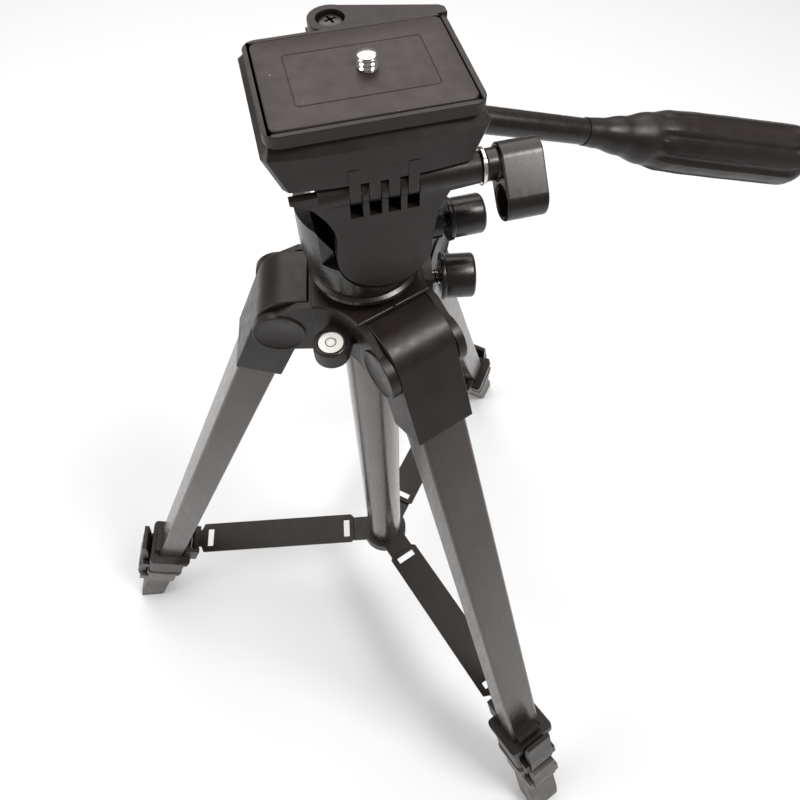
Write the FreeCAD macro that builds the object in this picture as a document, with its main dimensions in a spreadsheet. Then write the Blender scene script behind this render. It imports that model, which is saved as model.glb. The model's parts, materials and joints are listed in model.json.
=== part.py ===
"""Camera tripod with a pan-and-tilt head, standing with its legs at their working spread.

Millimetres. +Z is up and the origin is on the floor on the centre column's axis.
+X is the long side of the camera plate, and the side of the pan handle.
"""
import math
import os
import re

import FreeCAD
import Part
import Sketcher

SIZES = {
    # legs
    "leg_azimuth": 169.45, "leg_splay": 24.82, "leg_length": 427.0,
    "pin_reach": 34.94, "pin_height": 384.0, "pin_round": 2.5, "pin_long": 31.0,
    "tube_wide": 21.8, "tube_deep": 17.0, "tube_wall": 1.1, "tube_top": 8.5, "tube_foot": 92.0,
    "mid_wide": 18.8, "mid_deep": 14.0, "mid_top": 20.0, "mid_foot": 60.0,
    "low_wide": 16.0, "low_deep": 11.2, "low_top": 30.0, "low_foot": 22.0,
    # leg sockets
    "socket_wide": 26.4, "socket_half": 10.1, "socket_foot": 33.3,
    "crown_low": 11.5, "crown_high": 18.7, "crown_in": 5.6, "crown_round": 15.0,
    "throat_in": 10.9, "throat_high": 7.2, "throat_low": 0.8,
    # leg clamps
    "clamp_wall": 4.0, "clamp_tall": 28.0, "clamp_foot": 88.0, "low_clamp_foot": 56.0,
    "rim_wall": 6.0, "rim_tall": 4.5, "tab_wall": 3.6, "tab_tall": 6.0, "tab_wide": 17.0,
    "ear_out": 10.0, "ear_thick": 3.0, "ear_inner": 9.5, "ear_tall": 8.0,
    "hinge_out": 7.6, "hinge_up": 7.0, "hinge_round": 1.6, "hinge_barrel": 3.4,
    "lever_wide": 18.0, "lever_stand": 6.8, "lever_thick": 3.2,
    "upper_lever_tall": 37.0, "lower_lever_tall": 29.0,
    # feet
    "foot_wall": 3.5, "foot_top": 50.0, "sole_tall": 14.0,
    # shoulder
    "arm_wide": 33.0, "arm_floor": 371.0, "deck_height": 398.6, "deck_reach": 26.0, "ear_round": 10.5,
    "slot_wide": 27.0, "slot_in": 21.6, "boss_round": 20.2,
    "sleeve_round": 12.15, "sleeve_wall": 1.6, "sleeve_foot": 97.0, "sleeve_top": 398.0,
    "cap_foot": 85.0,
    "lug_reach": 26.2, "lug_wide": 12.0, "lug_floor": 386.0, "lug_tall": 12.6,
    "column_screw_height": 393.4, "column_knob_reach": 29.4, "screw_round": 3.0,
    "level_azimuth": 231.5, "level_reach": 30.6, "level_round": 7.0, "level_floor": 383.5,
    "level_top": 390.5, "vial_round": 5.3, "vial_tall": 4.6,
    # centre column and the turning head
    "column_round": 10.2, "column_wall": 1.5, "column_foot": 112.0, "column_top": 399.3,
    "table_round": 18.0, "table_tall": 2.3, "plug_tall": 12.0, "spindle_round": 5.0, "spindle_tall": 10.0,
    "base_floor": 402.0, "base_top": 437.0, "cup_round": 22.3,
    "tilt_x": 4.3, "tilt_z": 427.8, "drum_round": 16.3, "face_y": -19.5,
    "cheek_y": 10.2, "cheek_thick": 6.0, "cheek_round": 12.0, "axle_round": 3.0,
    "pan_screw_height": 418.0, "pan_boss_reach": 29.0, "pan_boss_round": 6.2,
    "pan_knob_reach": 31.5, "pan_screw_long": 8.0,
    # hinge between the tilting block and the camera platform
    "barrel_y": -15.5, "barrel_z": 453.2, "barrel_round": 4.6, "barrel_left": -15.5, "barrel_right": 35.5,
    "horn_left": -24.0,
    "comb_middle": 4.8, "comb_pitch": 6.0, "comb_drop": 3.2, "finger_wide": 3.4, "finger_gap": 0.3,
    "handle_y": 10.0, "handle_x": 37.5, "handle_z": 452.4, "handle_drop": 17.3,
    "handle_boss": 6.5, "boss_long": 11.0, "rod_depth": 17.0, "neck_left": -10.5, "neck_right": 19.0,
    "rod_round": 4.5, "rod_long": 50.0, "grip_long": 105.0, "grip_round": 10.6, "grip_end": 12.0,
    "flute_round": 3.2, "flute_count": 8,
    # camera platform and its quick-release plate
    "head_x": 4.15, "tray_wide": 67.0, "tray_front": -19.9, "tray_back": 32.0, "skirt_inset": 4.4,
    "tray_floor": 462.5, "tray_edge": 470.0, "tray_top": 473.4, "corner": 4.5,
    "plate_x": 4.1, "plate_y": 4.4, "plate_wide": 63.4, "plate_deep": 46.2, "plate_top": 478.0,
    "flange_floor": 473.8, "seat_inset": 2.5, "seat_floor": 469.8, "plate_fit": 0.3, "rim": 1.7,
    "pad_tall": 2.6, "stud_x": 6.3, "stud_y": 4.8, "stud_round": 3.175, "stud_neck": 2.7,
    "stud_top": 482.5, "stud_head": 7.0,
    "shelf_back": 43.0, "lever_x": 1.3, "lever_y": 35.6, "lever_round": 7.3, "lever_tip": 37.6,
    "lever_top": 476.4, "latch_thick": 5.8,
    # knobs
    "pan_knob_round": 7.3, "column_knob_round": 8.7, "knob_long": 14.0, "knob_flange": 0.7,
    "flip_start": 5.7, "flip_thick": 13.6, "flip_round": 6.3, "flip_out": 8.6, "flip_drop": 7.8,
    "washer_round": 5.8,
    # braces and their sliding hub
    "brace_reach": 146.0, "brace_height": 106.0, "brace_tip": 24.0, "brace_wide": 22.0,
    "brace_thick": 2.0, "brace_lift": 0.6, "eye_round": 2.8, "eye_pin": 1.2, "eye_wide": 13.0,
    "slot_long": 13.5, "slot_tall": 4.4,
    "hub_round": 16.2, "hub_foot": 95.5, "hub_top": 106.3, "leaf_reach": 24.5,
}

LEGS = {"left": 0, "front": 120, "rear": 240}

document = FreeCAD.newDocument("tripod")
sheet = document.addObject("Spreadsheet::Sheet", "sizes")
for row, (word, number) in enumerate(SIZES.items(), start=1):
    sheet.set(f"A{row}", str(number))
    sheet.setAlias(f"A{row}", word)
document.recompute()


# ---------------------------------------------------------------- helpers

def size(word):
    """The sheet's value for one named size."""
    return float(sheet.get(word))


def bind(target, path, formula):
    """Bind a property to a formula of sheet names."""
    target.setExpression(path, re.sub(r"[a-z]+(_[a-z]+)*",
                                      lambda word: f"sizes.{word[0]}" if word[0] in SIZES else word[0],
                                      str(formula)))


def new_body(label):
    """A PartDesign body whose label names its file."""
    body = document.addObject("PartDesign::Body", label)
    body.Label = label
    return body


def new_sketch(body, plane, offset="0"):
    """A sketch on one of the body's own origin planes, moved along the plane's normal."""
    sketch = body.newObject("Sketcher::SketchObject", "sketch")
    support = [item for item in body.Origin.OriginFeatures if item.Role == plane][0]
    sketch.AttachmentSupport = [(support, "")]
    sketch.MapMode = "FlatFace"
    bind(sketch, "AttachmentOffset.Base.z", offset)
    return sketch


def outline(body, plane, corners, offset="0"):
    """A closed polygon sketch: each corner's two coordinates are formulas of sheet names."""
    sketch = new_sketch(body, plane, offset)
    count = len(corners)
    turns = [2 * math.pi * i / count for i in range(count)]
    start = [FreeCAD.Vector(10 * math.cos(turn), 10 * math.sin(turn), 0) for turn in turns]
    for i in range(count):
        sketch.addGeometry(Part.LineSegment(start[i], start[(i + 1) % count]))
    for i in range(count):
        sketch.addConstraint(Sketcher.Constraint("Coincident", i, 2, (i + 1) % count, 1))
    for i, (across, up) in enumerate(corners):
        for kind, formula, guess in (("DistanceX", across, start[i].x), ("DistanceY", up, start[i].y)):
            number = sketch.addConstraint(Sketcher.Constraint(kind, -1, 1, i, 1, guess))
            bind(sketch, f"Constraints[{number}]", formula)
    return sketch


def box_corners(left, right, low, high):
    """The four corners of a rectangle given by its sides."""
    return [(left, low), (right, low), (right, high), (left, high)]


def disc(body, plane, across, up, radius, offset="0"):
    """A circle sketch whose centre and radius are formulas of sheet names."""
    sketch = new_sketch(body, plane, offset)
    sketch.addGeometry(Part.Circle(FreeCAD.Vector(1, 1, 0), FreeCAD.Vector(0, 0, 1), 5))
    for kind, formula in (("DistanceX", across), ("DistanceY", up)):
        number = sketch.addConstraint(Sketcher.Constraint(kind, -1, 1, 0, 3, 1))
        bind(sketch, f"Constraints[{number}]", formula)
    number = sketch.addConstraint(Sketcher.Constraint("Radius", 0, 5))
    bind(sketch, f"Constraints[{number}]", radius)
    return sketch


def feature(body, kind, sketch, length, centred):
    """A pad or a pocket of one length, its direction not yet chosen."""
    made = body.newObject(f"PartDesign::{kind}", kind.lower())
    made.Profile = sketch
    made.Midplane = centred
    bind(made, "Length", length)
    document.recompute()
    return made


def pad(body, sketch, length, centred=False, taper=0, down=False):
    """Add material along the sketch's normal, against it, or to both sides; a taper widens or narrows it."""
    made = feature(body, "Pad", sketch, length, centred)
    made.Reversed = down
    made.TaperAngle = taper
    document.recompute()
    return made


def pocket(body, sketch, length):
    """Cut material to both sides of the sketch, and make sure that something was cut."""
    before = body.Shape.Volume
    made = feature(body, "Pocket", sketch, length, True)
    if body.Shape.Volume > before - 0.01:
        raise RuntimeError(f"{body.Label}: a pocket cuts nothing")
    return made


def loft(body, low, high):
    """Add material between two sketches of equally many corners."""
    made = body.newObject("PartDesign::AdditiveLoft", "loft")
    made.Profile = low
    made.Sections = [high]
    made.Ruled = True
    document.recompute()
    return made


def turn(body, corners, axis="V_Axis"):
    """Revolve a half outline, drawn on the body's XZ plane, round the Z or X axis."""
    sketch = outline(body, "XZ_Plane", corners)
    made = body.newObject("PartDesign::Revolution", "revolution")
    made.Profile = sketch
    made.ReferenceAxis = (sketch, [axis])
    made.Angle = 360
    document.recompute()
    return made


def around(body, features, count, plane="XY_Plane"):
    """Repeat features evenly round the normal of one origin plane."""
    made = body.newObject("PartDesign::PolarPattern", "pattern")
    made.Originals = features
    made.Axis = (new_sketch(body, plane), ["N_Axis"])
    made.Angle = 360
    bind(made, "Occurrences", count)
    body.Tip = made
    document.recompute()
    return made


def round_edges(body, radius, wanted):
    """Fillet the edges for which wanted(edge) is true."""
    base = body.Tip
    names = [f"Edge{i}" for i, edge in enumerate(base.Shape.Edges, start=1) if wanted(edge)]
    made = body.newObject("PartDesign::Fillet", "fillet")
    made.Base = (base, names)
    bind(made, "Radius", radius)
    document.recompute()
    return made


def along(edge, axis):
    """Whether a straight edge runs along one axis (0, 1 or 2) of its body."""
    if edge.Curve.TypeId != "Part::GeomLine":
        return False
    direction = edge.tangentAt(edge.FirstParameter)
    return abs(abs(direction[axis]) - 1) < 1e-6


def place(body, origin=(0, 0, 0), rotation=FreeCAD.Rotation()):
    """Put a finished body where it belongs."""
    body.Placement = FreeCAD.Placement(FreeCAD.Vector(*origin), rotation)


def spin(degrees):
    """A turn about the vertical axis."""
    return FreeCAD.Rotation(FreeCAD.Vector(0, 0, 1), degrees)


def radial(reach, degrees, height):
    """A point at one distance from the column's axis."""
    angle = math.radians(degrees)
    return (reach * math.cos(angle), reach * math.sin(angle), height)


def place_on_leg(body, turned):
    """Leg frame: origin at the shoulder pin, X out of the leg's outer face, Z up the leg."""
    azimuth = size("leg_azimuth") + turned
    lean = FreeCAD.Rotation(FreeCAD.Vector(0, 1, 0), -size("leg_splay"))
    place(body, radial(size("pin_reach"), azimuth, size("pin_height")), spin(azimuth) * lean)


# ---------------------------------------------------------------- shoulder

def shoulder():
    """The casting: three pairs of ears, a round boss, and a lug for the column screw."""
    body = new_body("shoulder")
    arm = pad(body, outline(body, "XZ_Plane", [
        ("0", "arm_floor"), ("pin_reach", "pin_height - ear_round"), ("pin_reach", "pin_height + ear_round"),
        ("deck_reach", "deck_height"), ("0", "deck_height")]), "arm_wide", True)
    ear = pad(body, disc(body, "XZ_Plane", "pin_reach", "pin_height", "ear_round"), "arm_wide", True)
    around(body, [arm, ear], 3)
    pad(body, disc(body, "XY_Plane", "0", "0", "boss_round", "arm_floor"), "deck_height - arm_floor")
    lug = box_corners("-lug_reach", "-slot_in / 2", "-lug_wide / 2", "lug_wide / 2")
    pad(body, outline(body, "XY_Plane", lug, "lug_floor"), "lug_tall")
    slot = pocket(body, outline(body, "XY_Plane",
                                box_corners("slot_in", "3 * slot_in", "-slot_wide / 2", "slot_wide / 2"),
                                "pin_height"), "100")
    pin = pocket(body, disc(body, "XZ_Plane", "pin_reach", "pin_height", "pin_round"), "pin_long")
    around(body, [slot, pin], 3)
    pocket(body, disc(body, "XY_Plane", "0", "0", "sleeve_round + 0.05", "pin_height"), "100")
    pocket(body, disc(body, "YZ_Plane", "0", "column_screw_height", "screw_round + 0.05", "-lug_reach + 8"),
           "20")
    place(body, rotation=spin(size("leg_azimuth")))


def shoulder_pins():
    """The three pins on which the leg sockets turn."""
    body = new_body("shoulder_pins")
    pin = pad(body, disc(body, "XZ_Plane", "pin_reach", "pin_height", "pin_round"), "pin_long", True)
    around(body, [pin], 3)
    place(body, rotation=spin(size("leg_azimuth")))


def column_sleeve():
    """The fixed centre tube that guides the column and carries the sliding hub."""
    body = new_body("column_sleeve")
    turn(body, [("sleeve_round - sleeve_wall", "sleeve_foot"), ("sleeve_round", "sleeve_foot"),
                ("sleeve_round", "sleeve_top"), ("sleeve_round - sleeve_wall", "sleeve_top")])


def sleeve_cap():
    """The plastic plug that closes the centre tube's lower end."""
    body = new_body("sleeve_cap")
    turn(body, [("0", "cap_foot"), ("sleeve_round - 4.5", "cap_foot"),
                ("sleeve_round - 1.5", "cap_foot + 3"), ("sleeve_round", "sleeve_foot - 4"),
                ("sleeve_round", "sleeve_foot"), ("sleeve_round - sleeve_wall", "sleeve_foot"),
                ("sleeve_round - sleeve_wall", "sleeve_foot + 10"), ("0", "sleeve_foot + 10")])


def level_housing():
    """The cup for the bubble level, on an arm that meets the shoulder's wall."""
    body = new_body("level_housing")
    pad(body, disc(body, "XY_Plane", "0", "0", "level_round", "level_floor"), "level_top - level_floor")
    pad(body, outline(body, "XY_Plane", [
        ("0", "-level_round"), ("0", "level_round"), ("boss_round - level_reach + 3", "level_round - 1.5"),
        ("boss_round - level_reach + 0.2", "0"), ("boss_round - level_reach + 3", "1.5 - level_round")],
        "level_floor"), "level_top - level_floor - 0.8")
    pocket(body, disc(body, "XY_Plane", "0", "0", "vial_round", "level_top"), "2 * vial_tall")
    place(body, radial(size("level_reach"), size("level_azimuth"), 0), spin(size("level_azimuth")))


def level_vial():
    """The sealed round bubble vial, dropped into its cup."""
    body = new_body("level_vial")
    pad(body, disc(body, "XY_Plane", "0", "0", "vial_round", "level_top - vial_tall"), "vial_tall - 0.2")
    place(body, radial(size("level_reach"), size("level_azimuth"), 0))


# ---------------------------------------------------------------- centre column

def centre_column():
    """The lifting tube inside the sleeve."""
    body = new_body("centre_column")
    turn(body, [("column_round - column_wall", "column_foot"), ("column_round", "column_foot"),
                ("column_round", "column_top"), ("column_round - column_wall", "column_top")])


def column_table():
    """The round table on top of the column, with the spindle that the head turns on."""
    body = new_body("column_table")
    turn(body, [("0", "column_top - plug_tall"), ("column_round - column_wall", "column_top - plug_tall"),
                ("column_round - column_wall", "column_top"), ("table_round", "column_top"),
                ("table_round", "column_top + table_tall"), ("spindle_round", "column_top + table_tall"),
                ("spindle_round", "column_top + spindle_tall"), ("0", "column_top + spindle_tall")])


# ---------------------------------------------------------------- head

def pan_base():
    """The cup that turns on the column and cradles the tilting drum."""
    body = new_body("pan_base")
    turn(body, [("0", "base_floor"), ("cup_round - 3", "base_floor"), ("cup_round - 3", "base_floor + 1.2"),
                ("cup_round - 1.2", "base_floor + 2"), ("cup_round - 1.2", "base_floor + 3.6"),
                ("cup_round - 2.5", "base_floor + 4.4"), ("cup_round - 1.5", "base_floor + 10"),
                ("cup_round", "base_floor + 18"), ("cup_round", "base_top"), ("0", "base_top")])
    pad(body, disc(body, "YZ_Plane", "0", "pan_screw_height", "pan_boss_round", "cup_round - 6"),
        "pan_boss_reach - cup_round + 6")
    pocket(body, disc(body, "XZ_Plane", "tilt_x", "tilt_z", "drum_round + 0.5", "20"),
           "2 * (20 + cheek_y)")
    pocket(body, outline(body, "XZ_Plane", [
        ("tilt_x - drum_round - 0.5", "tilt_z"), ("tilt_x + drum_round + 0.5", "tilt_z"),
        ("tilt_x + drum_round + 6", "base_top + 1"), ("tilt_x - drum_round - 6", "base_top + 1")], "20"),
        "2 * (20 + cheek_y)")
    pocket(body, outline(body, "XZ_Plane", box_corners("-40", "40", "tilt_z - 4", "base_top + 1"),
                         "-cheek_y - 20"), "40")
    pocket(body, outline(body, "XZ_Plane", box_corners("-40", "40", "tilt_z - 5", "base_top + 1"),
                         "5 - face_y"), "20")
    pad(body, disc(body, "XZ_Plane", "tilt_x", "tilt_z", "cheek_round", "-cheek_y - cheek_thick / 2"),
        "cheek_thick", True)
    pocket(body, disc(body, "XZ_Plane", "tilt_x", "tilt_z", "axle_round", "-cheek_y"), "40")
    pocket(body, disc(body, "XY_Plane", "0", "0", "spindle_round + 0.05", "base_floor"),
           "2 * spindle_tall - 2 * table_tall")
    pocket(body, disc(body, "YZ_Plane", "0", "pan_screw_height", "screw_round + 0.05", "pan_boss_reach"),
           "2 * pan_boss_reach - 2 * cup_round + 4")


def tilt_axle():
    """The pin, fixed in the cup's rear cheek, that the tilting block turns on."""
    body = new_body("tilt_axle")
    pad(body, disc(body, "XZ_Plane", "tilt_x", "tilt_z", "axle_round", "-cheek_y - cheek_thick"),
        "cheek_y + cheek_thick + 8")


def tilt_block():
    """Drum, shield-shaped face, neck, handle boss and the lower half of the platform hinge."""
    body = new_body("tilt_block")
    pad(body, disc(body, "XZ_Plane", "tilt_x", "tilt_z", "drum_round", "-cheek_y + 0.5"),
        "cheek_y - 0.5 - face_y")
    pad(body, outline(body, "XZ_Plane", [
        ("tilt_x - drum_round + 0.1", "tilt_z + 1"), ("tilt_x - drum_round + 0.8", "tilt_z + 9"),
        ("tilt_x - drum_round + 0.3", "tilt_z + 13.3"), ("tilt_x - drum_round - 1.8", "tilt_z + 18.2"),
        ("tilt_x - drum_round - 5.4", "tilt_z + 23.4"), ("horn_left + 3", "barrel_z"),
        ("horn_left", "barrel_z + 1.5"), ("horn_left", "barrel_z + 2.8"),
        ("barrel_left", "barrel_z + 2.8"), ("barrel_left", "barrel_z - 1.5"),
        ("barrel_right", "barrel_z - 1.5"), ("barrel_right", "barrel_z - 3"),
        ("tilt_x + drum_round + 5", "tilt_z + 21.6"), ("tilt_x + drum_round + 1.2", "tilt_z + 14"),
        ("tilt_x + drum_round - 0.1", "tilt_z + 1")], "-face_y - 4.5"), "4.5")
    neck_top = "barrel_z + barrel_round"
    pad(body, outline(body, "XZ_Plane", box_corners("neck_left", "neck_right", "tilt_z", neck_top),
                      "-cheek_y + 0.5"), "cheek_y - 5 - face_y")
    pad(body, outline(body, "XZ_Plane", [
        ("neck_left", "tilt_z + 16"), ("neck_right", "tilt_z + 16"),
        ("handle_x - boss_long + 4", "handle_z - 6"), ("handle_x - boss_long + 4", neck_top),
        ("neck_left", neck_top)], "-handle_y - 7"),
        "handle_y + 2 - face_y")
    pad(body, disc(body, "YZ_Plane", "barrel_y", "barrel_z", "barrel_round", "barrel_left"),
        "barrel_right - barrel_left")
    for number in range(4):
        middle = f"comb_middle + ({number} - 1.5) * comb_pitch"
        pocket(body, outline(body, "YZ_Plane", box_corners("face_y - 8", "barrel_y + barrel_round + 0.7",
                                                           "barrel_z - barrel_round - comb_drop",
                                                           "tray_floor + 1"),
                             middle), "finger_wide + 2 * finger_gap")
    boss = body.newObject("PartDesign::AdditiveCylinder", "handle_boss")
    bind(boss, "Radius", "handle_boss")
    bind(boss, "Height", "boss_long")
    slope = FreeCAD.Rotation(FreeCAD.Vector(0, 1, 0), 90 + size("handle_drop"))
    outward = slope.multVec(FreeCAD.Vector(0, 0, 1))
    mouth = FreeCAD.Vector(size("handle_x"), size("handle_y"), size("handle_z"))
    boss.Placement = FreeCAD.Placement(mouth - outward * size("boss_long"), slope)
    hole = body.newObject("PartDesign::SubtractiveCylinder", "handle_hole")
    bind(hole, "Radius", "rod_round + 0.05")
    bind(hole, "Height", "rod_depth + 4")
    hole.Placement = FreeCAD.Placement(mouth - outward * (size("rod_depth") + 1), slope)
    document.recompute()
    pocket(body, disc(body, "YZ_Plane", "barrel_y", "barrel_z", "screw_round + 0.05", "barrel_right"), "180")
    pocket(body, disc(body, "XZ_Plane", "tilt_x", "tilt_z", "axle_round + 0.05", "-cheek_y"), "40")


def tray_outline(body, inset, height):
    """The camera tray's outline at one height: small corners and a slightly bowed front."""
    left, right = f"head_x - tray_wide / 2 + {inset}", f"head_x + tray_wide / 2 - {inset}"
    return outline(body, "XY_Plane", [
        (left, "tray_back"), (left, "tray_front + 3.6"), (f"{left} + 1.6", "tray_front + 1.7"),
        (f"{left} + 14", "tray_front + 0.4"), ("head_x", "tray_front"), (f"{right} - 14", "tray_front + 0.4"),
        (f"{right} - 1.6", "tray_front + 1.7"), (right, "tray_front + 3.6"), (right, "tray_back")], height)


def platform():
    """The tray under the camera plate, with the upper half of the hinge and the latch shelf."""
    body = new_body("platform")
    skirt_foot = "barrel_z + barrel_round + 0.6"
    edge = tray_outline(body, "0", "tray_edge")
    pad(body, edge, "tray_top - tray_edge", taper=-38)
    loft(body, tray_outline(body, "skirt_inset", skirt_foot), tray_outline(body, "0", "tray_edge"))
    pocket(body, outline(body, "YZ_Plane", [
        ("-8", f"{skirt_foot} - 1"), ("tray_back + 1", f"{skirt_foot} - 1"), ("tray_back + 1", "tray_floor"),
        ("-5", "tray_floor"), ("-8", skirt_foot)], "head_x"), "2 * tray_wide")
    shelf = box_corners("lever_x - lever_round", "lever_tip - 2", "lever_y - lever_round", "shelf_back")
    pad(body, outline(body, "XY_Plane", shelf, "tray_floor"), "lever_top - latch_thick - 0.3 - tray_floor")
    for number in range(4):
        middle = f"comb_middle + ({number} - 1.5) * comb_pitch"
        pad(body, disc(body, "YZ_Plane", "barrel_y", "barrel_z", "barrel_round - 0.2", middle),
            "finger_wide", True)
        pad(body, outline(body, "YZ_Plane", box_corners("barrel_y - barrel_round + 0.2",
                                                        "barrel_y + barrel_round - 0.2", "barrel_z",
                                                        "tray_floor + 1"), middle), "finger_wide", True)
    wide, deep = "(plate_wide / 2 - seat_inset + plate_fit)", "(plate_deep / 2 - seat_inset + plate_fit)"
    pocket(body, outline(body, "XY_Plane", box_corners(
        f"plate_x - {wide}", f"plate_x + {wide}", f"plate_y - {deep}", f"plate_y + {deep}"), "tray_top"),
        "2 * (tray_top - seat_floor)")
    pocket(body, disc(body, "YZ_Plane", "barrel_y", "barrel_z", "screw_round + 0.05", "barrel_right"), "180")
    for swept in (disc(body, "XY_Plane", "lever_x", "lever_y", "lever_round + 0.3", "lever_top"),
                  outline(body, "XY_Plane", box_corners("lever_x", "head_x + tray_wide",
                                                        "lever_y - lever_round - 0.3", "shelf_back + 5"),
                          "lever_top")):
        pocket(body, swept, "2 * latch_thick + 0.6")
    pocket(body, disc(body, "XY_Plane", "lever_x", "lever_y", "2", "tray_floor"), "30")
    pocket(body, disc(body, "XY_Plane", "stud_x", "stud_y", "stud_head + 1", "seat_floor"), "6")


def latch_screw():
    """The shouldered cross-head screw that the latch lever turns on."""
    body = new_body("latch_screw")
    turn(body, [("0", "tray_floor"), ("2", "tray_floor"), ("2", "lever_top - 2.4"), ("4", "lever_top - 2.4"),
                ("4", "lever_top - 1"), ("0", "lever_top - 0.6")])
    place(body, (size("lever_x"), size("lever_y"), 0))


def latch_lever():
    """The lever that frees the camera plate: a round eye and a tapering arm with a thumb end."""
    body = new_body("latch_lever")
    floor = "lever_top - latch_thick"
    pad(body, disc(body, "XY_Plane", "0", "0", "lever_round", floor), "latch_thick")
    pad(body, outline(body, "XY_Plane", [
        ("0", "-lever_round"), ("lever_tip - lever_x", "-6.4"), ("lever_tip - lever_x", "-3.2"),
        ("lever_tip - lever_x - 1.5", "-1.8"), ("0", "lever_round")], floor), "latch_thick")
    pocket(body, disc(body, "XY_Plane", "0", "0", "4.7", "lever_top"), "5")
    pocket(body, disc(body, "XY_Plane", "0", "0", "2.06", "lever_top"), "20")
    place(body, (size("lever_x"), size("lever_y"), 0))


def quick_plate():
    """The camera plate's hard frame, with a rim round its rubber pad."""
    body = new_body("quick_plate")
    pad(body, outline(body, "XY_Plane", box_corners("-plate_wide / 2", "plate_wide / 2", "-plate_deep / 2",
                                                    "plate_deep / 2"), "flange_floor"),
        "plate_top - 0.3 - flange_floor")
    round_edges(body, "corner", lambda edge: along(edge, 2))
    wide, deep = "(plate_wide / 2 - seat_inset)", "(plate_deep / 2 - seat_inset)"
    pad(body, outline(body, "XY_Plane", box_corners(f"-{wide}", wide, f"-{deep}", deep), "seat_floor + 0.3"),
        "flange_floor - seat_floor - 0.3")
    pocket(body, outline(body, "XY_Plane", box_corners(
        "rim - plate_wide / 2", "plate_wide / 2 - rim", "rim - plate_deep / 2", "plate_deep / 2 - rim"),
        "plate_top"), "2 * pad_tall")
    stud = ("stud_x - plate_x", "stud_y - plate_y")
    pocket(body, disc(body, "XY_Plane", *stud, "stud_round + 0.1", "plate_top"), "30")
    pocket(body, disc(body, "XY_Plane", *stud, "stud_head + 0.5", "seat_floor"), "8")
    place(body, (size("plate_x"), size("plate_y"), 0))


def plate_pad():
    """The rubber pad that grips the camera's base."""
    body = new_body("plate_pad")
    inset = "rim + 0.4"
    pad(body, outline(body, "XY_Plane", box_corners(
        f"{inset} - plate_wide / 2", f"plate_wide / 2 - ({inset})", f"{inset} - plate_deep / 2",
        f"plate_deep / 2 - ({inset})"), "plate_top - pad_tall"), "pad_tall")
    round_edges(body, "2.4", lambda edge: along(edge, 2))
    pocket(body, disc(body, "XY_Plane", "stud_x - plate_x", "stud_y - plate_y", "stud_round + 0.3",
                      "plate_top"), "30")
    place(body, (size("plate_x"), size("plate_y"), 0))


def camera_screw():
    """The quarter-inch stud with its captive head under the plate."""
    body = new_body("camera_screw")
    turn(body, [("0", "seat_floor + 0.6"), ("stud_head", "seat_floor + 0.6"),
                ("stud_head", "seat_floor + 3"), ("stud_neck", "seat_floor + 3"),
                ("stud_neck", "plate_top + 0.2"),
                ("stud_round", "plate_top + 0.5"), ("stud_round", "stud_top - 0.8"),
                ("stud_round - 0.8", "stud_top"), ("0", "stud_top")])
    place(body, (size("stud_x"), size("stud_y"), 0))


# ---------------------------------------------------------------- pan handle

def place_on_handle(body):
    """Handle frame: X along the handle, origin at the mouth of its boss."""
    place(body, (size("handle_x"), size("handle_y"), size("handle_z")),
          FreeCAD.Rotation(FreeCAD.Vector(0, 1, 0), size("handle_drop")))


def handle_rod():
    """The steel rod of the pan handle."""
    body = new_body("handle_rod")
    turn(body, [("-rod_depth", "0"), ("rod_long + 30", "0"), ("rod_long + 30", "rod_round"),
                ("-rod_depth", "rod_round")], "H_Axis")
    place_on_handle(body)


def handle_grip():
    """The flared plastic grip, with flutes round it."""
    body = new_body("handle_grip")
    turn(body, [("rod_long", "rod_round"), ("rod_long", "rod_round + 0.5"),
                ("rod_long + 16", "rod_round + 1.6"), ("rod_long + 38", "grip_round"),
                ("rod_long + grip_long - 4", "grip_end"),
                ("rod_long + grip_long", "grip_end - 3"), ("rod_long + grip_long", "0"),
                ("rod_long + 30", "0"), ("rod_long + 30", "rod_round")], "H_Axis")
    flute = pocket(body, disc(body, "YZ_Plane", "0", "grip_end + 1.4", "flute_round",
                              "rod_long + 40 + (grip_long - 46) / 2"), "grip_long - 46")
    around(body, [flute], "flute_count", "YZ_Plane")
    place_on_handle(body)


# ---------------------------------------------------------------- knobs

def turned_knob(label):
    """A round knob: X out of the screw, a wide flange, a body with a soft end."""
    body = new_body(label)
    rim = f"{label}_round"
    turn(body, [("0", "0"), ("0", f"{rim} + knob_flange"), ("1.8", f"{rim} + knob_flange"), ("2.2", rim),
                ("knob_long - 1", rim), ("knob_long", f"{rim} - 1"), ("knob_long", "0")], "H_Axis")
    return body


def knob_screw(label, reach):
    """The screw that a knob turns: X out of the hole, its head end buried in the knob's face."""
    body = new_body(label)
    turn(body, [(f"-({reach})", "0"), (f"-({reach})", "screw_round - 0.5"),
                (f"0.5 - ({reach})", "screw_round"), ("0", "screw_round"), ("0", "0")], "H_Axis")
    return body


def column_lock():
    """The knob and screw that hold the centre column."""
    azimuth = size("leg_azimuth") + 180
    knob = turned_knob("column_knob")
    mouth = radial(size("column_knob_reach"), azimuth, size("column_screw_height"))
    place(knob, mouth, spin(azimuth))
    place(knob_screw("column_knob_screw", "column_knob_reach - sleeve_round - 0.3"), mouth, spin(azimuth))


def pan_lock():
    """The knob and screw that hold the head's turn."""
    knob = turned_knob("pan_knob")
    mouth = (size("pan_knob_reach"), 0, size("pan_screw_height"))
    place(knob, mouth)
    place(knob_screw("pan_knob_screw", "pan_screw_long"), mouth)


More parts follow.
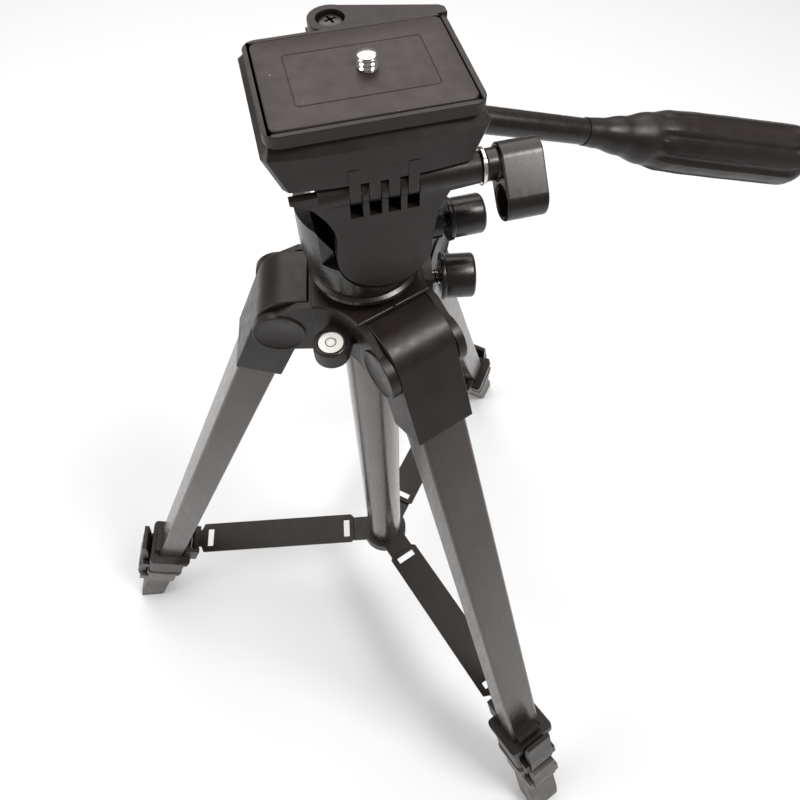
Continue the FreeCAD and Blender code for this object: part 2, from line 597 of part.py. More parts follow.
def flip_lock():
    """The big hollow lever knob, its bolt through the hinge and its bright washer."""
    knob = new_body("flip_knob")
    pad(knob, disc(knob, "YZ_Plane", "0", "0", "washer_round - 0.8", "1.6"), "flip_start")
    pad(knob, disc(knob, "YZ_Plane", "0", "0", "flip_round", "flip_start"), "flip_thick")
    pad(knob, disc(knob, "YZ_Plane", "-flip_out", "-flip_drop", "flip_round", "flip_start"), "flip_thick")
    side = "flip_round * sqrt(0.5)"
    pad(knob, outline(knob, "YZ_Plane", [
        (f"-{side}", side), (f"-flip_out - {side}", f"{side} - flip_drop"),
        (f"{side} - flip_out", f"-flip_drop - {side}"), (side, f"-{side}")], "flip_start"), "flip_thick")
    pocket(knob, disc(knob, "YZ_Plane", "-flip_out", "-flip_drop", "flip_round - 1.4", "flip_start"),
           "2 * flip_thick - 5")
    place(knob, (size("barrel_right"), size("barrel_y"), size("barrel_z")))
    bolt = knob_screw("flip_bolt", "barrel_right - barrel_left - 6")
    place(bolt, (size("barrel_right") + 1.6, size("barrel_y"), size("barrel_z")))
    washer = new_body("flip_washer")
    pad(washer, disc(washer, "YZ_Plane", "0", "0", "washer_round", "0.2"), "1.3")
    pocket(washer, disc(washer, "YZ_Plane", "0", "0", "screw_round"), "10")
    place(washer, (size("barrel_right"), size("barrel_y"), size("barrel_z")))


# ---------------------------------------------------------------- legs

def leg_socket(side, turned):
    """The cast knuckle that holds a leg's top tube between two ears."""
    body = new_body(f"{side}_socket")
    pad(body, outline(body, "XZ_Plane", [
        ("-crown_in", "crown_high"), ("-throat_in", "throat_high"), ("-socket_half", "throat_low"),
        ("-socket_half", "-socket_foot"), ("socket_half", "-socket_foot"), ("socket_half", "crown_low")]),
        "socket_wide", True)
    round_edges(body, "crown_round", lambda edge: along(edge, 1) and edge.CenterOfMass.x > 5
                and edge.CenterOfMass.z > 5)
    pocket(body, outline(body, "XY_Plane", box_corners("-tube_deep / 2", "tube_deep / 2", "-tube_wide / 2",
                                                       "tube_wide / 2"), "-tube_top - 40"), "80")
    pocket(body, disc(body, "XZ_Plane", "0", "0", "pin_round + 0.05"), "100")
    place_on_leg(body, turned)


def leg_tube(side, turned, stage, prefix, top, foot):
    """One rectangular tube of a leg; foot is measured up the leg from the floor."""
    body = new_body(f"{side}_{stage}_tube")
    length = f"leg_length - {foot} - {top}"
    middle = f"-{top} - ({length}) / 2"
    pad(body, outline(body, "XY_Plane", box_corners(
        f"-{prefix}_deep / 2", f"{prefix}_deep / 2", f"-{prefix}_wide / 2", f"{prefix}_wide / 2"), middle),
        length, True)
    round_edges(body, "2", lambda edge: along(edge, 2))
    pocket(body, outline(body, "XY_Plane", box_corners(
        f"tube_wall - {prefix}_deep / 2", f"{prefix}_deep / 2 - tube_wall",
        f"tube_wall - {prefix}_wide / 2", f"{prefix}_wide / 2 - tube_wall"), middle), "3 * leg_length")
    place_on_leg(body, turned)


def leg_clamp(side, turned, stage, foot, prefix, inner, with_brace):
    """The collar at a tube's lower end: it grips the next tube and carries the flip lever."""
    body = new_body(f"{side}_{stage}_clamp")
    low = f"{foot} - leg_length"
    for wall, floor, tall in (("clamp_wall", low, "clamp_tall"),
                              ("rim_wall", f"{low} + clamp_tall - rim_tall", "rim_tall")):
        pad(body, outline(body, "XY_Plane", box_corners(
            f"-{prefix}_deep / 2 - {wall}", f"{prefix}_deep / 2 + {wall}",
            f"-{prefix}_wide / 2 - {wall}", f"{prefix}_wide / 2 + {wall}"), floor), tall)
    round_edges(body, "3", lambda edge: along(edge, 2))
    for near, far in (("ear_inner", "ear_inner + ear_thick"), ("-ear_inner - ear_thick", "-ear_inner")):
        ear = box_corners(f"{prefix}_deep / 2 + 1", f"{prefix}_deep / 2 + ear_out", near, far)
        pad(body, outline(body, "XY_Plane", ear, f"{low} + hinge_up - ear_tall / 2"), "ear_tall")
    pad(body, disc(body, "XZ_Plane", f"{prefix}_deep / 2 + hinge_out", f"{low} + hinge_up", "hinge_round"),
        "2 * ear_inner + ear_thick", True)
    if with_brace:
        tab = box_corners(f"{prefix}_deep / 2 - 2", f"{prefix}_deep / 2 + tab_wall", "-tab_wide / 2",
                          "tab_wide / 2")
        pad(body, outline(body, "XY_Plane", tab, f"{low} + clamp_tall - 1"), "tab_tall + 1")
        for near, far in (("eye_wide / 2 + 0.3", "10.5"), ("-10.5", "-eye_wide / 2 - 0.3")):
            pad(body, outline(body, "XY_Plane", box_corners(
                f"-{prefix}_deep / 2 - 10.5", f"-{prefix}_deep / 2 - 0.6", near, far),
                f"{low} + clamp_tall - 4"), "17")
        out, down = "(brace_reach - pin_reach)", "(pin_height - brace_height)"
        pad(body, disc(body, "XZ_Plane", f"{out} * cos(leg_splay) - {down} * sin(leg_splay)",
                       f"-{out} * sin(leg_splay) - {down} * cos(leg_splay)", "eye_pin"), "eye_wide + 4", True)
    pocket(body, outline(body, "XY_Plane", box_corners(
        f"-{prefix}_deep / 2", f"{prefix}_deep / 2", f"-{prefix}_wide / 2", f"{prefix}_wide / 2"),
        f"{low} + 4 + 100"), "200")
    pocket(body, outline(body, "XY_Plane", box_corners(
        f"-{inner}_deep / 2 - 0.2", f"{inner}_deep / 2 + 0.2", f"-{inner}_wide / 2 - 0.2",
        f"{inner}_wide / 2 + 0.2"), low), "100")
    place_on_leg(body, turned)


def clamp_lever(side, turned, stage, foot, prefix):
    """The flip lever over a clamp: it hinges low, and its free end stands clear above the rim."""
    body = new_body(f"{side}_{stage}_lever")
    low = f"{foot} - leg_length"
    inner = f"{prefix}_deep / 2 + lever_stand"
    pad(body, outline(body, "XZ_Plane", [
        (f"{inner} + 1", f"{low} + hinge_up - 3"), (f"{inner} + lever_thick + 1", f"{low} + hinge_up - 3"),
        (f"{inner} + lever_thick + 2.6", f"{low} + hinge_up + 8"),
        (f"{inner} + lever_thick + 2.4", f"{low} + clamp_tall - 4"),
        (f"{inner} + lever_thick + 3.4", f"{low} + {stage}_lever_tall"),
        (f"{inner} + 3.6", f"{low} + {stage}_lever_tall"), (f"{inner} + 0.8", f"{low} + clamp_tall - 2"),
        (inner, f"{low} + clamp_tall - 8"), (inner, f"{low} + hinge_up + 2")]), "lever_wide", True)
    hinge = (f"{prefix}_deep / 2 + hinge_out", f"{low} + hinge_up")
    pad(body, disc(body, "XZ_Plane", *hinge, "hinge_barrel"), "lever_wide", True)
    pocket(body, disc(body, "XZ_Plane", *hinge, "hinge_round + 0.06"), "100")
    place_on_leg(body, turned)


def foot(side, turned):
    """The rubber foot: a boot on the last tube, cut level with the floor."""
    body = new_body(f"{side}_foot")
    sole = "-pin_height / cos(leg_splay)"
    pad(body, outline(body, "XZ_Plane", [
        ("-low_deep / 2 - foot_wall", "foot_top - leg_length"), ("low_deep / 2 + foot_wall",
                                                                 "foot_top - leg_length"),
        ("low_deep / 2 + foot_wall + 1.5", "sole_tall - leg_length"),
        ("low_deep / 2 + foot_wall", f"{sole} - (low_deep / 2 + foot_wall) * tan(leg_splay)"),
        ("-low_deep / 2 - foot_wall", f"{sole} + (low_deep / 2 + foot_wall) * tan(leg_splay)")]),
        "low_wide + 2 * foot_wall", True)
    round_edges(body, "3", lambda edge: along(edge, 2))
    pocket(body, outline(body, "XY_Plane", box_corners("-low_deep / 2", "low_deep / 2", "-low_wide / 2",
                                                       "low_wide / 2"), "low_foot - leg_length + 50"), "100")
    place_on_leg(body, turned)


def brace(side, turned):
    """The flat strap between a leg and the hub, slotted near both ends."""
    body = new_body(f"{side}_brace")
    pad(body, outline(body, "XY_Plane", [
        ("brace_tip - brace_reach", "-brace_wide / 2 + 2"),
        ("brace_tip - brace_reach + 2", "-brace_wide / 2"), ("-7", "-brace_wide / 2"),
        ("-5", "-eye_wide / 2"), ("0", "-eye_wide / 2"), ("0", "eye_wide / 2"),
        ("-5", "eye_wide / 2"), ("-7", "brace_wide / 2"),
        ("brace_tip - brace_reach + 2", "brace_wide / 2"),
        ("brace_tip - brace_reach", "brace_wide / 2 - 2")], "brace_lift"), "brace_thick")
    pad(body, disc(body, "XZ_Plane", "0", "0", "eye_round"), "eye_wide", True)
    for middle in ("brace_tip - brace_reach + 5.5", "-12"):
        slot = box_corners(f"{middle} - slot_tall / 2", f"{middle} + slot_tall / 2", "-slot_long / 2",
                           "slot_long / 2")
        pocket(body, outline(body, "XY_Plane", slot), "10")
    pocket(body, disc(body, "XZ_Plane", "0", "0", "eye_pin + 0.06"), "100")
    azimuth = size("leg_azimuth") + turned
    place(body, radial(size("brace_reach"), azimuth, size("brace_height")), spin(azimuth))


def brace_hub():
    """The ring that slides on the centre tube, with a leaf under the end of each brace."""
    body = new_body("brace_hub")
    pad(body, disc(body, "XY_Plane", "0", "0", "hub_round", "hub_foot"), "hub_top - hub_foot")
    leaf = pad(body, outline(body, "XY_Plane", box_corners("hub_round - 4", "leaf_reach", "-9", "9"),
                             "hub_top - 2.4"), "2.4")
    knuckle = pad(body, disc(body, "XZ_Plane", "leaf_reach - 2.2", "hub_top - 2.6", "2"), "16", True)
    around(body, [leaf, knuckle], 3)
    pocket(body, disc(body, "XY_Plane", "0", "0", "sleeve_round + 0.08", "hub_foot"), "100")
    place(body, rotation=spin(size("leg_azimuth")))


# ---------------------------------------------------------------- build and export

def build_all():
    for make in (shoulder, shoulder_pins, column_sleeve, sleeve_cap, level_housing, level_vial,
                 centre_column, column_table, pan_base, tilt_axle, tilt_block, platform, latch_screw,
                 latch_lever, quick_plate, plate_pad, camera_screw, handle_rod, handle_grip, column_lock,
                 pan_lock, flip_lock, brace_hub):
        make()
    for side, turned in LEGS.items():
        leg_socket(side, turned)
        leg_tube(side, turned, "top", "tube", "tube_top", "tube_foot")
        leg_clamp(side, turned, "upper", "clamp_foot", "tube", "mid", True)
        clamp_lever(side, turned, "upper", "clamp_foot", "tube")
        leg_tube(side, turned, "mid", "mid", "mid_top", "mid_foot")
        leg_clamp(side, turned, "lower", "low_clamp_foot", "mid", "low", False)
        clamp_lever(side, turned, "lower", "low_clamp_foot", "mid")
        leg_tube(side, turned, "low", "low", "low_top", "low_foot")
        foot(side, turned)
        brace(side, turned)


def export_all():
    """Check every object, then write each body's shape under its label."""
    document.recompute()
    broken = [item.Label for item in document.Objects if {"Invalid", "Error"} & set(item.State)]
    if broken:
        raise RuntimeError(f"these objects did not compute: {broken}")
    os.makedirs("parts", exist_ok=True)
    for body in document.Objects:
        if body.TypeId != "PartDesign::Body":
            continue
        if body.Shape.isNull() or not body.Shape.isValid():
            raise RuntimeError(f"{body.Label} has no valid shape")
        body.Shape.exportStep(f"parts/{body.Label}.step")


build_all()
export_all()
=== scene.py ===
"""Looks for the camera tripod: materials, softened CAD pieces and the fine detail round them."""
import json
import math

import bmesh
import bpy
from mathutils import Matrix, Vector


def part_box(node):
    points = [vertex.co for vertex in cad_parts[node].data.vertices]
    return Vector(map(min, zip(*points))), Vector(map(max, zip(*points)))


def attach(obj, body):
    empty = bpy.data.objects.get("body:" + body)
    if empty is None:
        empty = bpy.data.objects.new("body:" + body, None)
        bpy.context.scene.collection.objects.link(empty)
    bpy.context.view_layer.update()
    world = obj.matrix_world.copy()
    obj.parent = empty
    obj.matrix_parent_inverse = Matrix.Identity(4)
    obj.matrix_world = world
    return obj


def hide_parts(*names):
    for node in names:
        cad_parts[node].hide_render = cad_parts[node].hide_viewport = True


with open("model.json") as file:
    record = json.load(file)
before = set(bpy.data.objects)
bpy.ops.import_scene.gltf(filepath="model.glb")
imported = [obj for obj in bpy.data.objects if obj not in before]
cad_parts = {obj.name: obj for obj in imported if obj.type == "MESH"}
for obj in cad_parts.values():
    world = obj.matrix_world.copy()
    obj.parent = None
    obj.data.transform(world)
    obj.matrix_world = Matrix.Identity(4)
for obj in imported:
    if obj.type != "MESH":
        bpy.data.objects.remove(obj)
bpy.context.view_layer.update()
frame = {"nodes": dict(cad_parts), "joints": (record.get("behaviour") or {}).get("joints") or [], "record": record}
MM = 0.001
SHARP = math.radians(40)    # the angle between faces above which an edge stays crisp
SIDES = ("left", "front", "rear")
NODES = frame["nodes"]
BODIES = frame["record"]["behaviour"]["bodies"]
BODY_OF = {node: body for body, nodes in BODIES.items() for node in nodes}
SLOT_OF = {part["node"]: part["material_slot"] for part in frame["record"]["subparts"]}
JOINTS = {joint["name"]: joint for joint in frame["joints"]}


# ---------------------------------------------------------------- materials

def node_of(tree, kind, **settings):
    """A shader node with some of its settings or input values filled in."""
    made = tree.nodes.new(kind)
    for word, value in settings.items():
        if hasattr(made, word):
            setattr(made, word, value)
        else:
            made.inputs[word.replace("_", " ")].default_value = value
    return made


def noise(tree, place, scale, detail=3.0, stretch=None):
    """Noise on the object's own coordinates; scale is in features per metre."""
    made = node_of(tree, "ShaderNodeTexNoise", Scale=scale, Detail=detail)
    source = place.outputs["Object"]
    if stretch:
        mapping = node_of(tree, "ShaderNodeMapping", Scale=stretch)
        tree.links.new(source, mapping.inputs["Vector"])
        source = mapping.outputs["Vector"]
    tree.links.new(source, made.inputs["Vector"])
    return made


def finish_material(name, dark, light, rough, metallic=0.0, grain=1800, bump=0.2, depth=0.05,
                    mottle=60, coat=0.0, specular=0.5, stretch=None, specks=0.0):
    """A surface with mottled colour, uneven gloss and a fine grain, and specks of dust if asked for.

    The colour runs from dark to light; grain and mottle are in features per metre, depth is in mm.
    """
    material = bpy.data.materials.new(name)
    material.use_nodes = True
    tree = material.node_tree
    shader = tree.nodes["Principled BSDF"]
    shader.inputs["Metallic"].default_value = metallic
    shader.inputs["Coat Weight"].default_value = coat
    shader.inputs["Coat Roughness"].default_value = 0.2
    shader.inputs["Specular IOR Level"].default_value = specular
    place = tree.nodes.new("ShaderNodeTexCoord")
    broad = noise(tree, place, mottle, 5.0)
    ramp = tree.nodes.new("ShaderNodeValToRGB")
    ramp.color_ramp.elements[0].position = 0.3
    ramp.color_ramp.elements[0].color = (*dark, 1)
    ramp.color_ramp.elements[1].position = 0.7
    ramp.color_ramp.elements[1].color = (*light, 1)
    tree.links.new(broad.outputs["Fac"], ramp.inputs["Fac"])
    colour = ramp.outputs["Color"]
    if specks:
        colour = add_specks(tree, place, colour, specks)
    tree.links.new(colour, shader.inputs["Base Color"])
    streaks = noise(tree, place, grain / 6, 4.0, stretch)
    smoothest, roughest = rough * 0.85, min(1.0, rough * 1.18)
    gloss = node_of(tree, "ShaderNodeMapRange", From_Min=0.3, From_Max=0.7, To_Min=smoothest,
                    To_Max=roughest)
    tree.links.new(streaks.outputs["Fac"], gloss.inputs["Value"])
    tree.links.new(gloss.outputs["Result"], shader.inputs["Roughness"])
    fine = noise(tree, place, grain, 2.0, stretch)
    relief = node_of(tree, "ShaderNodeBump", Strength=bump, Distance=depth * MM)
    tree.links.new(fine.outputs["Fac"], relief.inputs["Height"])
    tree.links.new(relief.outputs["Normal"], shader.inputs["Normal"])
    return material


def add_specks(tree, place, colour, size):
    """Scattered pale specks of dust; size is their radius as a part of their spacing."""
    specks_per_metre, dust = 170.0, (0.35, 0.33, 0.31, 1)
    cells = node_of(tree, "ShaderNodeTexVoronoi", Scale=specks_per_metre)
    tree.links.new(place.outputs["Object"], cells.inputs["Vector"])
    near = node_of(tree, "ShaderNodeMath", operation="LESS_THAN")
    near.inputs[1].default_value = size
    tree.links.new(cells.outputs["Distance"], near.inputs[0])
    mix = node_of(tree, "ShaderNodeMix", data_type="RGBA")
    tree.links.new(near.outputs["Value"], mix.inputs["Factor"])
    tree.links.new(colour, mix.inputs["A"])
    mix.inputs["B"].default_value = dust
    return mix.outputs["Result"]


WARM = (1.0, 0.945, 0.905)    # the colour of every light
MATERIALS = {
    "black_plastic": finish_material("satin_black_plastic", (0.0120, 0.0092, 0.0080),
                                     (0.019, 0.0150, 0.0132), 0.38, grain=1500, bump=0.6, depth=0.06,
                                     specular=0.36),
    "gloss_black": finish_material("gloss_black_plastic", (0.0100, 0.0080, 0.0072),
                                   (0.015, 0.0122, 0.0112), 0.27, grain=2200, bump=0.12, depth=0.02,
                                   mottle=400, specular=0.5),
    "gunmetal": finish_material("anodised_gunmetal", (0.052, 0.043, 0.038), (0.074, 0.062, 0.056),
                                0.30, metallic=0.6, grain=2600, bump=0.12, depth=0.02, mottle=25,
                                coat=0.35, stretch=(1.0, 1.0, 0.08)),
    # a lighter, glossier copy of the gunmetal for the column sleeve: the extra coat is a glossier finish, and the
    # lighter base colour is painted reflection of the bright surroundings
    "gunmetal_painted_reflection": finish_material("gunmetal_painted_reflection", (0.085, 0.072, 0.066), (0.115, 0.099, 0.091),
                                       0.26, metallic=0.6, grain=2600, bump=0.12, depth=0.02,
                                       mottle=25, coat=0.6, stretch=(1.0, 1.0, 0.08)),
    "strap_metal": finish_material("painted_strap", (0.0135, 0.0108, 0.0095), (0.019, 0.0155, 0.0138),
                                   0.38, metallic=0.1, grain=1800, bump=0.3, depth=0.03, specular=0.3),
    "steel": finish_material("bright_steel", (0.66, 0.63, 0.60), (0.78, 0.75, 0.72), 0.14,
                             metallic=1.0, grain=3000, bump=0.1, depth=0.01, mottle=400),
    "dark_steel": finish_material("dark_steel", (0.060, 0.055, 0.052), (0.10, 0.094, 0.09), 0.32,
                                  metallic=1.0, grain=2500, bump=0.2, depth=0.02, mottle=300),
    "rubber_pad": finish_material("pad_rubber", (0.020, 0.0158, 0.0140), (0.027, 0.0220, 0.0197), 0.50,
                                  grain=1300, bump=0.5, depth=0.06, mottle=45, specks=0.035),
    "grey_plastic": finish_material("grey_plastic", (0.085, 0.074, 0.067), (0.125, 0.110, 0.101), 0.42,
                                    grain=1500, bump=0.5, depth=0.06),
    "foot_rubber": finish_material("foot_rubber", (0.085, 0.074, 0.067), (0.14, 0.124, 0.115), 0.55,
                                   grain=1600, bump=0.5, depth=0.06),
    "vial_white": finish_material("vial_white", (0.74, 0.76, 0.74), (0.82, 0.84, 0.82), 0.12,
                                  grain=2500, bump=0.02, depth=0.01, coat=0.6),
}
# the nodes whose material isn't that of their slot
FINISH_OF = {"handle_rod": "gloss_black", "pan_knob_screw": "gloss_black",
             "column_sleeve": "gunmetal_painted_reflection"}
FINISH_OF.update({f"{side}_lower_clamp": "grey_plastic" for side in SIDES})


# ---------------------------------------------------------------- mesh helpers

def add_piece(name, vertices, faces, body, material, replaces=()):
    """A mesh piece that rides on a body, with one of the finishes in MATERIALS."""
    mesh = bpy.data.meshes.new(name)
    mesh.from_pydata([tuple(v) for v in vertices], [], faces)
    work = bmesh.new()
    work.from_mesh(mesh)
    bmesh.ops.recalc_face_normals(work, faces=work.faces)
    work.to_mesh(mesh)
    work.free()
    mesh.shade_smooth()
    mesh.set_sharp_from_angle(angle=SHARP)
    mesh.materials.append(MATERIALS[material])
    piece = bpy.data.objects.new(name, mesh)
    bpy.context.scene.collection.objects.link(piece)
    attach(piece, body)
    if replaces:
        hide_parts(*replaces)
    return piece


def soften(piece, width):
    """Small fillets, width in mm, on the sharper edges, so that they catch the light."""
    segments, sharper_than = 3, math.radians(32)
    bevel = piece.modifiers.new("fillets", "BEVEL")
    bevel.width = width * MM
    bevel.segments = segments
    bevel.limit_method = "ANGLE"
    bevel.angle_limit = sharper_than
    bevel.harden_normals = True
    bevel.use_clamp_overlap = True
    return piece


def clean_copy(node):
    """The CAD node's mesh with flat regions as single faces."""
    nearest, flat = 0.002 * MM, math.radians(0.6)
    work = bmesh.new()
    work.from_mesh(NODES[node].data)
    bmesh.ops.remove_doubles(work, verts=work.verts, dist=nearest)
    bmesh.ops.dissolve_limit(work, angle_limit=flat, verts=work.verts, edges=work.edges)
    vertices = [tuple(v.co) for v in work.verts]
    faces = [[v.index for v in face.verts] for face in work.faces]
    work.free()
    return vertices, faces


def carry(node, width):
    """Stand for a CAD node with a copy of it that has filleted edges."""
    vertices, faces = clean_copy(node)
    material = FINISH_OF.get(node, SLOT_OF[node])
    piece = add_piece(f"{node}_body", vertices, faces, BODY_OF[node], material, [node])
    return soften(piece, width)


def lathe(name, body, material, origin, axis, profile, segments=72, ripple=None, replaces=()):
    """Revolve (height, radius) pairs, in mm, round an axis; ripple(height, angle) adds to the radius.

    A radius of 0 makes a single point on the axis.
    """
    axis = Vector(axis).normalized()
    side = axis.orthogonal().normalized()
    other = axis.cross(side)
    origin = Vector(origin)
    vertices, rings, faces = [], [], []
    for height, radius in profile:
        count = segments if radius > 0 else 1
        rings.append(range(len(vertices), len(vertices) + count))
        for step in range(count):
            angle = 2 * math.pi * step / segments
            reach = radius + (ripple(height, angle) if ripple and radius > 0 else 0)
            spoke = side * math.cos(angle) + other * math.sin(angle)
            vertices.append(origin + (axis * height + spoke * reach) * MM)
    for first, second in zip(rings, rings[1:]):
        for step in range(segments):
            after = (step + 1) % segments
            corners = [first[step % len(first)], first[after % len(first)],
                       second[after % len(second)], second[step % len(second)]]
            face = list(dict.fromkeys(corners))
            if len(face) > 2:
                faces.append(face)
    for ring in (rings[0], rings[-1]):
        if len(ring) > 1:
            faces.append(list(ring))
    return add_piece(name, vertices, faces, body, material, replaces)


def rounded_loop(wide, deep, corner, height, steps=6):
    """The points of a rectangle with round corners, about the origin, in mm."""
    points = []
    for quarter, (across, along) in enumerate(((1, 1), (-1, 1), (-1, -1), (1, -1))):
        for step in range(steps + 1):
            angle = math.pi / 2 * (quarter + step / steps)
            points.append((across * (wide / 2 - corner) + corner * math.cos(angle),
                           along * (deep / 2 - corner) + corner * math.sin(angle), height))
    return points


def rounded_slab(name, body, material, centre, loops, replaces=()):
    """A closed slab through rounded rectangles (wide, deep, corner, height), from the underside up."""
    vertices, faces = [], []
    for loop in loops:
        vertices += [Vector(centre) + Vector(point) * MM for point in rounded_loop(*loop)]
    count = len(vertices) // len(loops)
    for ring in range(len(loops) - 1):
        for step in range(count):
            after = (step + 1) % count
            faces.append([ring * count + step, ring * count + after, (ring + 1) * count + after,
                          (ring + 1) * count + step])
    faces.append(list(range(count)))
    faces.append(list(range((len(loops) - 1) * count, len(loops) * count)))
    return add_piece(name, vertices, faces, body, material, replaces)


def carve(piece, cutters):
    """Cut the cutters out of a piece, and remove them."""
    for cutter in cutters:
        cut = piece.modifiers.new("cut", "BOOLEAN")
        cut.operation = "DIFFERENCE"
        cut.object = cutter
    bpy.context.view_layer.update()
    shown = piece.evaluated_get(bpy.context.evaluated_depsgraph_get())
    mesh = bpy.data.meshes.new_from_object(shown)
    piece.modifiers.clear()
    piece.data = mesh
    mesh.set_sharp_from_angle(angle=SHARP)
    for cutter in cutters:
        bpy.data.objects.remove(cutter)


def middle_of(node):
    """The centre of a CAD node's box, and half its size."""
    lowest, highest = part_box(node)
    return (lowest + highest) / 2, (highest - lowest) / 2


def pivot(joint):
    """A joint's point and axis."""
    return Vector(JOINTS[joint]["pos_m"]), Vector(JOINTS[joint]["axis"])


# the width of each CAD node's fillets, in mm
FILLETS = {
    "shoulder": 1.2, "shoulder_pins": 0.3, "column_sleeve": 0.4, "sleeve_cap": 0.5,
    "level_housing": 0.7, "centre_column": 0.3, "column_table": 0.4, "pan_base": 0.7, "tilt_axle": 0.3,
    "tilt_block": 0.7, "platform": 0.6, "latch_lever": 0.6, "quick_plate": 0.5,
    "handle_rod": 0.3, "pan_knob_screw": 0.2, "flip_knob": 0.9, "flip_bolt": 0.2,
    "flip_washer": 0.3, "brace_hub": 0.6,
}
LEG_FILLETS = {
    "socket": 1.4, "top_tube": 0.6, "upper_clamp": 0.7, "upper_lever": 0.7, "mid_tube": 0.6,
    "lower_clamp": 0.7, "lower_lever": 0.7, "low_tube": 0.5, "foot": 0.8, "brace": 0.35,
}
for node, width in FILLETS.items():
    carry(node, width)
for side in SIDES:
    for part, width in LEG_FILLETS.items():
        carry(f"{side}_{part}", width)


# ---------------------------------------------------------------- threads, plate and latch

def thread_ripple(pitch, depth, start, end):
    """A helical groove of one pitch and depth, between two heights, for lathe()."""
    def ripple(height, angle):
        if not start <= height <= end:
            return 0
        turn = (height / pitch - angle / (2 * math.pi)) % 1
        return -depth * (1 - abs(2 * turn - 1)) ** 0.8
    return ripple


def thread_rows(start, end, radius, step=0.13):
    """Closely spaced rows of equal radius for a thread."""
    count = round((end - start) / step)
    return [(start + (end - start) * row / count, radius) for row in range(count + 1)]


def camera_stud():
    """The quarter-inch camera screw: captive head, twenty threads to the inch, domed tip."""
    lowest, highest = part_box("camera_screw")
    centre, _ = middle_of("camera_screw")
    pad_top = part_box("plate_pad")[1].z
    radius, pitch, groove = 3.175, 25.4 / 20, 0.62
    head, neck = 7.0, 2.7
    tall, seat = (highest.z - lowest.z) / MM, (pad_top - lowest.z) / MM
    start, end = seat - 1.2, tall - 0.9
    profile = [(0, 0), (0, head - 0.4), (0.4, head), (2.0, head), (2.4, head - 0.4), (2.4, neck),
               (start - 0.1, neck)]
    profile += thread_rows(start, end, radius)
    profile += [(tall - 0.5, radius - 0.25), (tall - 0.2, radius - 0.8), (tall - 0.04, radius - 1.8),
                (tall, 0)]
    lathe("camera_stud", "camera_screw", "steel", (centre.x, centre.y, lowest.z), (0, 0, 1), profile,
          ripple=thread_ripple(pitch, groove, start, end), replaces=["camera_screw"])


def rubber_pad():
    """The rubber pad with its soft edge and the shallow moulded frame in its top."""
    lowest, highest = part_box("plate_pad")
    centre, half = middle_of("plate_pad")
    wide, deep = 2 * half.x / MM, 2 * half.y / MM
    tall = (highest.z - lowest.z) / MM
    frame_margin, frame_depth = 17, 0.22
    line_wide, line_deep = wide - frame_margin, deep - frame_margin
    loops = [(wide, deep, 2.6, 0), (wide, deep, 2.6, tall - 0.5),
             (wide - 0.3, deep - 0.3, 2.5, tall - 0.15), (wide - 0.9, deep - 0.9, 2.2, tall)]
    for inset, dip in ((0, 0), (0.25, frame_depth), (0.65, frame_depth), (0.9, 0)):
        loops.append((line_wide - inset, line_deep - inset, 1.2, tall - dip))
    rounded_slab("rubber_pad", "quick_plate", "rubber_pad", (centre.x, centre.y, lowest.z), loops,
                 replaces=["plate_pad"])


def cross_screw():
    """The lever's cross-head screw."""
    lowest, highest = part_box("latch_screw")
    centre, half = middle_of("latch_screw")
    tall, reach = (highest.z - lowest.z) / MM, half.x / MM
    shank, head = 2, tall - 1.8
    screw = lathe("cross_screw", "platform", "dark_steel", (centre.x, centre.y, lowest.z), (0, 0, 1),
                  [(0, 0), (0, shank), (head, shank), (head, reach - 0.2), (tall - 1.6, reach),
                   (tall - 0.7, reach), (tall - 0.35, reach - 0.5), (tall - 0.1, reach * 0.5),
                   (tall, 0)], replaces=["latch_screw"])
    first_turn, long, wide, deep = 0.35, 2.1, 0.45, 1.3    # of the cross's slots, from their middle
    top = Vector((centre.x, centre.y, highest.z))
    outline = ((-long, -wide), (long, -wide), (long, wide), (-long, wide))
    sides = [(0, 1, 2, 3), (4, 5, 6, 7), (0, 1, 5, 4), (1, 2, 6, 5), (2, 3, 7, 6), (3, 0, 4, 7)]
    cutters = []
    for turn in (first_turn, first_turn + math.pi / 2):
        along = Vector((math.cos(turn), math.sin(turn), 0))
        across = Vector((-math.sin(turn), math.cos(turn), 0))
        corners = [top + (along * a + across * b + Vector((0, 0, c))) * MM
                   for c in (-deep, 1) for a, b in outline]
        cutters.append(add_piece("cutter", corners, sides, "platform", "dark_steel"))
    carve(screw, cutters)


def lever_grip():
    """The thumb ridges along the back edge of the latch lever."""
    lowest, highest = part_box("latch_lever")
    hinge, _ = pivot("latch_swing")
    start = Vector((hinge.x, highest.y, lowest.z))
    end = Vector((highest.x - 1.5 * MM, hinge.y - 1.8 * MM, lowest.z))
    tall = (highest.z - lowest.z) / MM
    ridges, first, step, radius = 9, 0.62, 0.043, 0.72    # first and step as fractions of the edge
    for number in range(ridges):
        spot = start.lerp(end, first + step * number) + Vector((0, -0.25, 0)) * MM
        lathe(f"lever_ridge_{number}", "latch_lever", "black_plastic", spot, (0, 0, 1),
              [(0.5, 0), (0.5, 0.5), (0.8, radius), (tall - 0.5, radius), (tall - 0.2, 0.5),
               (tall - 0.2, 0)], segments=16)


# ---------------------------------------------------------------- bubble level and shoulder

